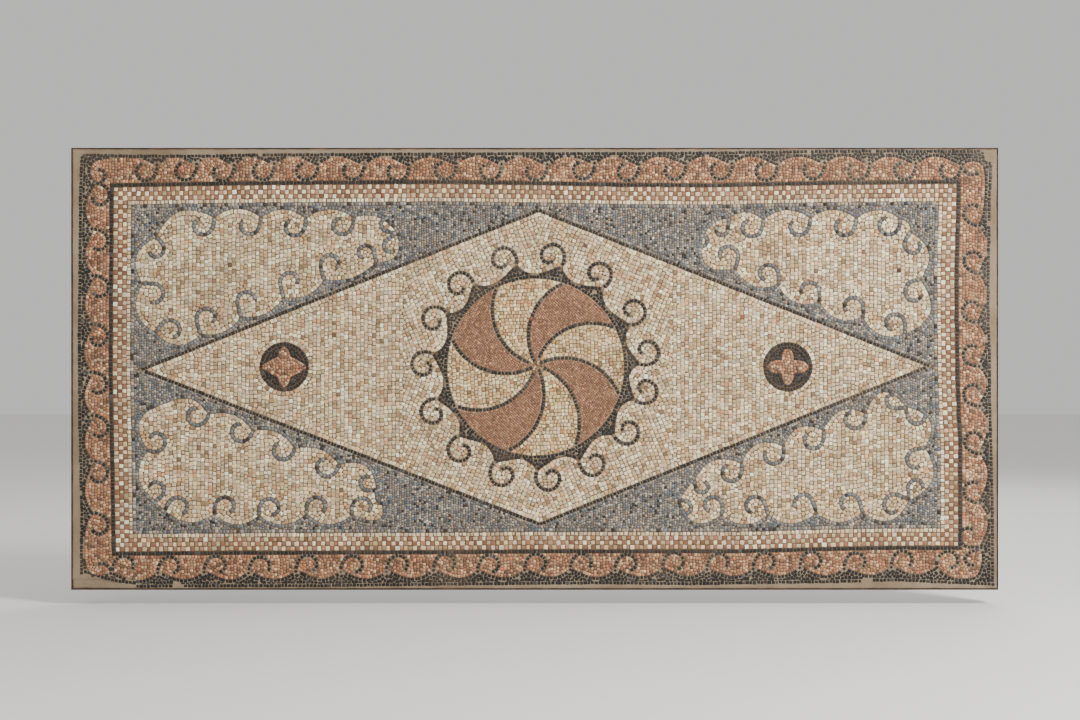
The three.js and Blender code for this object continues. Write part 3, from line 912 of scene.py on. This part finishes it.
def rusted_material():
    """Iron gone dark brown, with paler rust in patches."""
    material = bpy.data.materials.new("rusted_iron")
    tree, shader = tree_and_shader(material)
    patches = mapped(tree, noise(tree, 35, 6), 0.4, 0.65, 0.0, 1.0)
    colour = mixed(tree, patches, (44, 32, 26), (98, 62, 40))
    tree.links.new(colour, shader.inputs["Base Color"])
    roughness = mapped(tree, noise(tree, 80), 0.3, 0.7, 0.6, 0.95)
    tree.links.new(roughness, shader.inputs["Roughness"])
    shader.inputs["Metallic"].default_value = 0.25
    bumped(tree, shader, noise(tree, 260, 5), 0.6, 0.0008)
    return material


BLACK = stone_material("black_stone", 0.42, 0.7, 0.25)
PINK = stone_material("pink_stone", 0.6, 0.85, 0.1)
BROWN_PINK = stone_material("brown_pink_stone", 0.6, 0.85, 0.09)
CREAM = stone_material("cream_stone", 0.5, 0.78, 0.07)
GREY = stone_material("grey_stone", 0.6, 0.85, 0.12)
WHITE_STONE = stone_material("white_stone", 0.5, 0.75, 0.06)
CHECKER_STONE = stone_material("checker_stone", 0.5, 0.8, 0.08)
MORTAR = mortar_material()
RUSTED = rusted_material()

# Each kind of stone: its slot and material, how far its face stays inside its share of the field,
# the colour of its foot, and whether its edges are worn.
KINDS = {
    "black": ("black_stone", BLACK, 0.42, (146, 126, 100), True),
    "pink": ("pink_stone", PINK, 0.45, (120, 90, 68), False),
    "brown pink": ("brown_pink_stone", BROWN_PINK, 0.32, (196, 158, 126), False),
    "cream": ("cream_stone", CREAM, 0.62, (84, 62, 40), True),
    "grey": ("grey_stone", GREY, 0.42, (92, 82, 72), False),
    "white": ("white_stone", WHITE_STONE, 0.7, (84, 64, 44), True),
    "checker": ("checker_stone", CHECKER_STONE, 0.5, (104, 84, 62), True),
}

for side in ("top", "bottom", "left", "right"):
    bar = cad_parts[f"edge_iron_{side}"]
    for material_slot in bar.material_slots:
        material_slot.material = RUSTED

# ---- lines of the design
wave_crests = crests(WAVES, WAVE_LEAN)
wave_outline = np.concatenate([path[:-1] for path in wave_crests])
wave_curls = curls_of(WAVES) + [rounded(points) for points in CORNER_HOOKS]
cloud_crests = {name: crests(nicks) for name, nicks in CLOUDS.items()}
cloud_outlines = {
    name: np.concatenate([path[:-1] for path in paths]) for name, paths in cloud_crests.items()
}
cloud_curls = {name: curls_of(nicks) for name, nicks in CLOUDS.items()}


def lozenge(inset):
    """The lozenge this far inside its outer edge, clockwise: each corner where the moved sides meet."""
    before, after = np.roll(LOZENGE, 1, 0), np.roll(LOZENGE, -1, 0)
    a = LOZENGE - before
    b = after - LOZENGE
    a /= np.hypot(*a.T)[:, None]
    b /= np.hypot(*b.T)[:, None]
    na, nb = np.stack([a[:, 1], -a[:, 0]], -1), np.stack([b[:, 1], -b[:, 0]], -1)
    return LOZENGE + (na + nb) * inset / (1 + (na * nb).sum(1))[:, None]


def ring_nicks():
    """Cusps of the medallion, clockwise, each with its curl."""
    angle = FIRST_CURL - np.cumsum([0, *CURL_STEPS])
    cusps = polar(MEDALLION, CUSP, angle - math.degrees(CURL_BACK / CUSP))
    centres = polar(MEDALLION, CUSP + CURL_OUT, angle)
    return [
        nick(*cusp, -DIP, curls=[(*centre, RING_CURL_RADIUS, -1)])
        for cusp, centre in zip(cusps, centres)
    ]


def arm_path(i, start=7.0):
    """An arc out from where the arms meet, which falls back by asin(radius / bend) on its way."""
    radius = np.linspace(start, RING, 60)
    back = math.degrees(math.asin(RING / ARM_BEND))
    angle = FIRST_ARM - 360 / ARM_COUNT * i + back - np.degrees(np.arcsin(radius / ARM_BEND))
    return polar(MEDALLION, radius, angle) + ARMS_MEET * (1 - radius / RING)[:, None]


def circle(centre, radius):
    """A closed circle, anticlockwise."""
    return polar(centre, radius, np.linspace(0, 360, 121))


def cross(centre, quarter):
    """A four-armed cross, mirrored from the outline of its upper right quarter."""
    upper = np.array(quarter, float)
    upper = np.concatenate([upper, (upper * [-1, 1])[::-1]])
    return np.concatenate([upper, -upper]) + centre


medallion_nicks = ring_nicks()
medallion_crests = crests(medallion_nicks, RING_LEAN, RING_SWELL)
medallion_outline = np.concatenate([path[:-1] for path in medallion_crests])
medallion_curls = curls_of(medallion_nicks, **RING_CURL)
arms = [arm_path(i, ARM_STARTS[i % 2]) for i in range(ARM_COUNT)]


def crest_rows(paths, by):
    """Paths along crests, moved to the left, less the ends that come too near a neighbour."""
    rows = []
    guide = guide_map(paths, abs(by) + 2)
    for path in paths:
        moved = moved_left(resampled(path, 1.0), by)
        free = nearest(moved, guide)[0] > abs(by) * 0.93
        if free.sum() > 5:
            rows.append(moved[free])
    return rows


def nick_stones(nicks, outwards, rng, size=LINE):
    """One stone in the point of each nick, set cornerwise to the middle of the crests beside it."""
    places = np.array([n["at"] for n in nicks])
    apart = np.roll(places, -1, 0) - np.roll(places, 1, 0)
    along = apart / np.hypot(*apart.T)[:, None]
    out = np.stack([-along[:, 1], along[:, 0]], -1) * outwards
    turned_by = rng.normal(math.pi / 4, 0.15, len(nicks))
    return rectangles(places + out * size * 0.62, turned(along, turned_by), size * 0.84, size * 0.84)


# ---- the wave border
picture = filled(PICTURE_EDGE)
wave_field = filled(wave_outline)
band_outer = swayed(band_rectangle(0))
rng = generator("wave border")
beside = LINE / 2 - 0.2  # from an outline to the middle of the row of black stones along it
edge_line = moved_left(resampled(closed(PICTURE_EDGE), 4.0), beside)
edge_column, edge_row = np.rint(in_cells(edge_line)).astype(int).T
edge_line = edge_line[picture[edge_row, edge_column]]
outline_rows = crest_rows(wave_crests, beside)
black_field = picture & ~wave_field & ~near([edge_line, *outline_rows], LINE / 2)
black_stones = uncrowded(np.concatenate([
    row_of_stones(edge_line, rng),
    nick_stones(WAVES, 1, rng),
    *[row_of_stones(path, rng, pitch=CREST_PITCH) for path in outline_rows],
    *[row_of_stones(path, rng, pitch=WAVE_CURL_PITCH, fill=0.86) for path in wave_curls],
    lay(black_field, LINE - 0.2, [edge_line, *outline_rows], rng, rows=1),
]))
in_parts("wave_ground_stones", black_stones, colours(len(black_stones), "black", rng),
         ["wave_ground"], "black")

pink_field = wave_field & picture & ~filled(band_outer) & ~near(wave_curls, LINE / 2 + 0.3)
pink_guides = [closed(wave_outline), band_outer, *wave_curls]
pink_stones = lay(pink_field, CHIP, pink_guides, rng, rows=1, reach=1.8)
in_parts("wave_stones", pink_stones, colours(len(pink_stones), "pink", rng),
         ["wave_band"], "pink")

# ---- the straight bands
# Each side of the bands: the way along it, anticlockwise, and the way inwards.
SIDES = {
    "bottom": (np.array([1.0, 0.0]), np.array([0.0, 1.0])),
    "right": (np.array([0.0, 1.0]), np.array([-1.0, 0.0])),
    "top": (np.array([-1.0, 0.0]), np.array([0.0, -1.0])),
    "left": (np.array([0.0, -1.0]), np.array([1.0, 0.0])),
}


def band_stones(side, inset, width, rows, pitch, rng, fill=0.94):
    """Rows of stones along one side of the bands, swayed, and each stone's row and number in it."""
    travel, inward = SIDES[side]
    half = PINK_INNER @ np.abs(travel) - inset
    out = PINK_INNER @ np.abs(inward) - inset
    middle = np.array([0, FRAME_MIDDLE])
    height = width / rows
    stones, order = [], []
    for row in range(rows):
        line = middle - inward * (out - (row + 0.5) * height)
        start = line - travel * half
        end = line + travel * (half - width)
        made = row_of_stones(np.array([start, end]), rng, height, pitch, fill)
        stones.append(made)
        order.append(np.stack([np.full(len(made), row), np.arange(len(made))], -1))
    return swayed(np.concatenate(stones)), np.concatenate(order)


for side in SIDES:
    rng = generator(f"bands {side}")
    stones, _ = band_stones(side, 0.4, FILLET - 0.9, 1, FILLET_PITCH, rng, 0.9)
    stone_piece(f"fillet_stones_{side}", stones, colours(len(stones), "black", rng),
                ["black_fillet"], "black")
    stones, order = band_stones(side, FILLET, CHECKER, 3, CHECK, rng)
    pale = colours(len(stones), "white", rng)
    brown = colours(len(stones), "brown", rng)
    is_pale = (order.sum(1) % 2 == 0)[:, None]
    stone_piece(f"checker_stones_{side}", stones, np.where(is_pale, pale, brown),
                ["checker_band"], "checker")
    stones, _ = band_stones(side, FILLET + CHECKER, WHITE, 1, WHITE_PITCH, rng, 0.95)
    stone_piece(f"white_row_stones_{side}", stones, colours(len(stones), "white", rng),
                ["white_row"], "white")

# ---- the clouds and their ground
rng = generator("clouds")
ground_edge = swayed(band_rectangle(FILLET + CHECKER + WHITE))
ground_row = swayed(band_rectangle(FILLET + CHECKER + WHITE + LINE / 2))
lozenge_outer = lozenge(0)
cloud_rows = [row for paths in cloud_crests.values() for row in crest_rows(paths, LINE / 2)]
all_cloud_curls = [path for paths in cloud_curls.values() for path in paths]
grey_field = filled(ground_edge) & ~filled(lozenge_outer) & ~near([ground_row, *cloud_rows], LINE / 2)
for outline in cloud_outlines.values():
    grey_field &= ~filled(outline)
rim_stones = uncrowded(np.concatenate([
    row_of_stones(path, rng, pitch=RIM_PITCH) for path in cloud_rows
]))
slate_stones = uncrowded(np.concatenate([
    row_of_stones(path, rng, pitch=CREST_PITCH) for path in all_cloud_curls
]))
edge_stones = row_of_stones(ground_row, rng, pitch=RIM_PITCH)
grey_guides = [ground_row, closed(lozenge_outer), *[closed(o) for o in cloud_outlines.values()]]
grey_stones = lay(grey_field, GREY_CHIP, grey_guides, rng, rows=1, reach=1.5)
ground_stones = np.concatenate([rim_stones, slate_stones, edge_stones, grey_stones])
ground_tones = np.concatenate([
    colours(len(rim_stones), "rim", rng),
    colours(len(slate_stones), "slate", rng),
    colours(len(edge_stones) + len(grey_stones), "grey", rng),
])
in_parts("cloud_ground_stones", ground_stones, ground_tones, ["cloud_ground"], "grey")

for name, outline in cloud_outlines.items():
    rng = generator(name)
    field = filled(outline) & ~near(cloud_curls[name], LINE / 2 + 0.3)
    stones = lay(field, CREAM_STONE, [closed(outline), *cloud_curls[name]], rng, rows=1, reach=1.6)
    stone_piece(f"cloud_stones_{name}", stones, colours(len(stones), "cream", rng),
                [f"cloud_{name}"], "cream")

# ---- the lozenge
rng = generator("lozenge")
line_path = closed(lozenge(LINE / 2))
line_stones = uncrowded(np.concatenate([
    row_of_stones(line_path[i:i + 2], rng) for i in range(len(LOZENGE))
]))
stone_piece("lozenge_line_stones", line_stones, colours(len(line_stones), "black", rng),
            ["lozenge_line"], "black")
roundel_discs = [circle(centre, ROUNDEL_RADIUS) for centre, _ in ROUNDELS.values()]
lozenge_field = filled(lozenge(LINE)) & ~filled(medallion_outline) & ~near(medallion_curls, LINE / 2 + 0.3)
for disc in roundel_discs:
    lozenge_field &= ~filled(disc[:-1])


def lozenge_lean(points):
    """Rows follow the lozenge's sides above and below the medallion, and run level in its wings."""
    x, z = (points - LOZENGE.mean(0)).T
    slope = math.atan2(LOZENGE[1, 1] - LOZENGE[0, 1], LOZENGE[1, 0] - LOZENGE[0, 0])
    return np.where(np.abs(x) < WING, -slope * np.sign(x) * np.sign(z), 0.0)


field_guides = [closed(lozenge(LINE)), closed(medallion_outline), *medallion_curls, *roundel_discs]
cream_stones = lay(lozenge_field, CREAM_STONE, field_guides, rng, rows=1, reach=1.6, lean=lozenge_lean)
in_parts("lozenge_stones", cream_stones, colours(len(cream_stones), "cream", rng),
         ["lozenge_field"], "cream")

# ---- the medallion
rng = generator("medallion")
ring_row = circle(MEDALLION, RING)
scallop_rows = crest_rows(medallion_crests, -LINE / 2)
arm_rows = [path[np.hypot(*(path - MEDALLION).T) < RING - LINE * 0.6] for path in arms]
between = filled(medallion_outline) & ~filled(ring_row[:-1]) & ~near([ring_row, *scallop_rows], LINE / 2)
filler = lay(between, LINE - 0.6, [ring_row, *scallop_rows], rng, rows=1)
medallion_stones = uncrowded(np.concatenate([
    row_of_stones(ring_row, rng),
    *[row_of_stones(path, rng) for path in arm_rows],
    *[row_of_stones(path, rng) for path in scallop_rows],
    nick_stones(medallion_nicks, -1, rng),
    *[row_of_stones(path, rng, pitch=RING_CURL_PITCH, fill=0.9) for path in medallion_curls],
    filler,
]))
stone_piece("medallion_stones", medallion_stones,
            colours(len(medallion_stones), "black", rng),
            ["medallion_ring_and_arms"], "black")

within = filled(ring_row[:-1]) & ~near([ring_row, *arms], LINE / 2 + 0.2)
for i in range(ARM_COUNT):
    cream = i % 2 == 0
    name = f"petal_{'cream' if cream else 'pink'}_{i // 2 + 1}"
    rng = generator(name)
    ends = np.linspace(FIRST_ARM - 360 / ARM_COUNT * i, FIRST_ARM - 360 / ARM_COUNT * (i + 1), 12)
    petal = np.concatenate([arm_path(i, 0.5), polar(MEDALLION, RING, ends), arm_path(i + 1, 0.5)[::-1]])
    guides = [arm_path(i), arm_path(i + 1), ring_row]
    middle = math.radians(FIRST_ARM - 360 / ARM_COUNT * (i + 0.5))
    size, palette = (PETAL_STONE, "petal cream") if cream else (FINE_CHIP, "brown pink")
    stones = lay(within & filled(petal), size, guides, rng, rows=1, reach=1.5,
                 lean=lambda points, angle=middle: np.full(len(points), angle))
    stone_piece(f"{name}_stones", stones, colours(len(stones), palette, rng), [name],
                "cream" if cream else "brown pink")

# ---- the roundels
for name, (centre, quarter) in ROUNDELS.items():
    rng = generator(f"roundel {name}")
    outline = cross(centre, quarter)
    disc, rim = circle(centre, ROUNDEL_RADIUS), circle(centre, ROUNDEL_RADIUS - LINE / 2)
    rim_row = row_of_stones(rim, rng, pitch=ROUNDEL_PITCH)
    ground = filled(disc[:-1]) & ~near([rim], LINE / 2 + 0.6) & ~filled(outline)
    filler = lay(ground, ROUNDEL_STONE, [rim, closed(outline)], rng, rows=1)
    stones = np.concatenate([rim_row, filler])
    stone_piece(f"roundel_{name}_ground_stones", stones, colours(len(stones), "black", rng),
                [f"roundel_{name}_ground"], "black")
    stones = lay(filled(outline), CROSS_STONE, [closed(outline)], rng, rows=1)
    stone_piece(f"roundel_{name}_cross_stones", stones, colours(len(stones), "pink", rng),
                [f"roundel_{name}_cross"], "pink")

# ---- the slab
SIDE_MARGIN, SIDE_STEP = 22.0, 2.2  # the finely cut margins at the left and right, and their steps
END_MARGIN, END_STEP = 30.0, 2.0  # the same at the top and bottom
BED_STEP = 4.6
SOILED = 0.85  # how dark the joints of the picture are with soil
# Joints stay pale along these black rows, within the medallion's scallops and in the border's ground.
black_cells = near([ring_row, *arms, *medallion_curls, *wave_curls, line_path], LINE / 2) | between


def waves_of_noise(x, z, rng, length, count=9):
    """Smooth random heights about zero: a sum of sine waves near one length, in every direction."""
    angle = rng.uniform(0, 2 * math.pi, count)
    phase = rng.uniform(0, 2 * math.pi, count)
    wave = 2 * math.pi / (length * rng.uniform(0.7, 1.4, count))
    waves = zip(wave, angle, phase)
    total = sum(np.sin(w * (x * math.cos(a) + z * math.sin(a)) + p) for w, a, p in waves)
    return total / math.sqrt(count)


def slab_lines(low, high, margin, fine, coarse):
    """Grid lines from one edge to the other, close together in the two margins."""
    edge = np.linspace(0, margin, int(margin / fine) + 1)
    inner = np.linspace(low + margin, high - margin, int((high - low - 2 * margin) / coarse) + 1)
    return np.concatenate([low + edge, inner[1:-1], (high - edge)[::-1]])


def slab():
    """The slab: a closed block whose front is the bed between the stones and rougher margins.

    The margin is worn deeper at the lower left corner, where the picture is lost.
    """
    rng = generator("slab")
    xs = slab_lines(SLAB_LOW[0], SLAB_HIGH[0], SIDE_MARGIN, SIDE_STEP, BED_STEP)
    zs = slab_lines(SLAB_LOW[2], SLAB_HIGH[2], END_MARGIN, END_STEP, BED_STEP)
    x, z = np.meshgrid(xs, zs)
    points = np.stack([x.ravel(), z.ravel()], -1)
    cell = np.rint(in_cells(points)).astype(int).clip(0, [COLUMNS - 1, ROWS - 1])
    in_picture = picture[cell[:, 1], cell[:, 0]].reshape(x.shape)
    grain = waves_of_noise(x, z, rng, 9) * 0.22 + waves_of_noise(x, z, rng, 40) * 0.3
    bed = FACE + BED_DEPTH + 0.25 * grain
    margin = FACE + 0.75 + grain
    lost = np.clip((-850 - x) / 30 + 1, 0, 1) * np.clip((-418 - z) / 4, 0, 1)
    margin = margin + lost * (1.8 + 1.2 * grain)
    y = np.where(in_picture, bed, np.maximum(margin, FACE + 0.05))
    rows, columns = x.shape
    front = np.stack([x, y, z], -1).reshape(-1, 3)
    index = np.arange(rows * columns).reshape(rows, columns)
    loop = np.concatenate([index[0], index[1:, -1], index[-1, -2::-1], index[-2:0:-1, 0]])
    back = front[loop].copy()
    back[:, 1] = SLAB_HIGH[1]
    behind = rows * columns + np.arange(len(loop))
    faces = [
        behind[::-1][None],
        np.stack([np.roll(loop, -1), loop, behind, np.roll(behind, -1)], -1),
        np.stack([index[:-1, :-1], index[:-1, 1:], index[1:, 1:], index[1:, :-1]], -1).reshape(-1, 4),
    ]
    piece = mesh_object("mortar_bed", np.concatenate([front, back]), faces, MORTAR)
    soiled = (filled(band_outer) | wave_field) & picture & ~black_cells
    soil = np.concatenate([soiled[cell[:, 1], cell[:, 0]] * SOILED, np.zeros(len(back))])
    layer = piece.data.attributes.new("soiled", "FLOAT", "POINT")
    layer.data.foreach_set("value", soil.astype(np.float32))
    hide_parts("mortar_slab")


slab()


# ---- floor and light
def stage_floor():
    """A wide pale floor just below the panel."""
    size, drop = 14.0, 0.03
    level = PANEL_LOW[2] * MM - drop
    corners = [(-size, -size, level), (size, -size, level), (size, size, level), (-size, size, level)]
    mesh = bpy.data.meshes.new("floor")
    mesh.from_pydata(corners, [], [(0, 1, 2, 3)])
    material = bpy.data.materials.new("floor")
    _, shader = tree_and_shader(material)
    shader.inputs["Base Color"].default_value = (0.86, 0.85, 0.83, 1)
    shader.inputs["Roughness"].default_value = 0.9
    mesh.materials.append(material)
    floor = bpy.data.objects.new("floor", mesh)
    bpy.context.scene.collection.objects.link(floor)


def area_light(name, place, size, watts):
    """A square soft light that faces the middle of the panel."""
    data = bpy.data.lights.new(name, "AREA")
    data.size = size
    data.energy = watts
    lamp = bpy.data.objects.new(name, data)
    lamp.location = place
    lamp.rotation_euler = (-Vector(place)).to_track_quat("-Z", "Y").to_euler()
    bpy.context.scene.collection.objects.link(lamp)


stage_floor()
area_light("key", (2.3, -2.3, 2.1), size=1.0, watts=158)
area_light("fill", (-2.6, -3.4, 0.8), size=2.5, watts=14)
area_light("behind", (1.5, 3.0, 2.5), size=2.5, watts=60)

world = bpy.data.worlds.new("studio")
world.use_nodes = True
world.node_tree.nodes["Background"].inputs["Color"].default_value = (0.93, 0.93, 0.92, 1)
world.node_tree.nodes["Background"].inputs["Strength"].default_value = 0.68
bpy.context.scene.world = world

# ---- camera, in metres
DISTANCE = 4.0
VIEW_WIDTH = 2.155
VIEW_X, VIEW_Z = 0.0106, 0.0176
SENSOR = 36.0
camera_data = bpy.data.cameras.new("camera")
camera_data.sensor_width = SENSOR
camera_data.lens = SENSOR * DISTANCE / VIEW_WIDTH
camera = bpy.data.objects.new("camera", camera_data)
camera.location = (VIEW_X, FACE * MM - DISTANCE, VIEW_Z)
camera.rotation_euler = (math.pi / 2, 0, 0)
bpy.context.scene.collection.objects.link(camera)
bpy.context.scene.camera = camera
